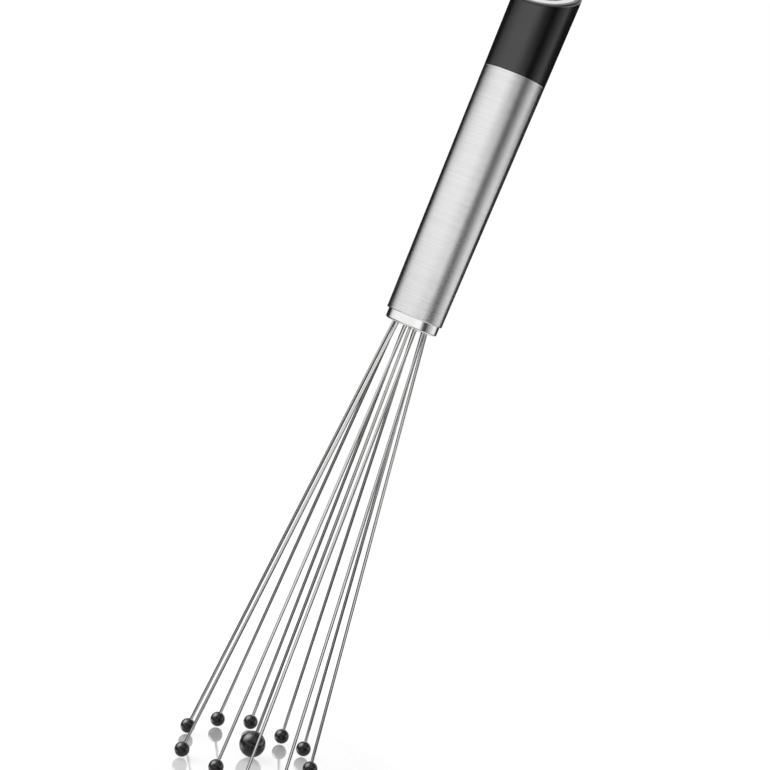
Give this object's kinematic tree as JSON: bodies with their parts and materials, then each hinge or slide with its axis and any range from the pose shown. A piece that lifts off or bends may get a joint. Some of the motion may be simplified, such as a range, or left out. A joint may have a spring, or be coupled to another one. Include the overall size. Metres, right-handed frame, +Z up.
{
  "type": "ball whisk",
  "caption": "Hand whisk with a tapered steel handle, a slanted black cap with a hanging hole, and a fan of straight spring wires that end in glossy black balls.",
  "frame": {"origin": "where the hanging hole's axis crosses the handle's axis, inside the black cap", "axes": "+Z up the handle's axis, away from the balls; -Y is the side that the cap's slanted face looks to, and the hanging hole runs along Y"},
  "size_m": [0.0508, 0.0442, 0.2758],
  "materials": {
    "brushed_sleeve": "satin, brushed round the handle",
    "polished_steel": "polished stainless steel",
    "spring_wire": "bright drawn spring wire",
    "black_cap": "satin moulded",
    "gloss_black": "high gloss",
    "anchor_plastic": "plain moulded, hidden inside the sleeve"
  },
  "bodies": {
    "root": {"handle_sleeve": "brushed_sleeve", "end_cap": "black_cap", "eye_ring": "polished_steel", "ferrule": "polished_steel", "wire_anchor": "anchor_plastic", "wire_01": "spring_wire", "wire_02": "spring_wire", "wire_03": "spring_wire", "wire_04": "spring_wire", "wire_05": "spring_wire", "wire_06": "spring_wire", "wire_07": "spring_wire", "wire_08": "spring_wire", "wire_09": "spring_wire", "wire_10": "spring_wire", "centre_wire": "spring_wire", "ball_01": "gloss_black", "ball_02": "gloss_black", "ball_03": "gloss_black", "ball_04": "gloss_black", "ball_05": "gloss_black", "ball_06": "gloss_black", "ball_07": "gloss_black", "ball_08": "gloss_black", "ball_09": "gloss_black", "ball_10": "gloss_black", "centre_ball": "gloss_black"}
  },
  "joints": []
}
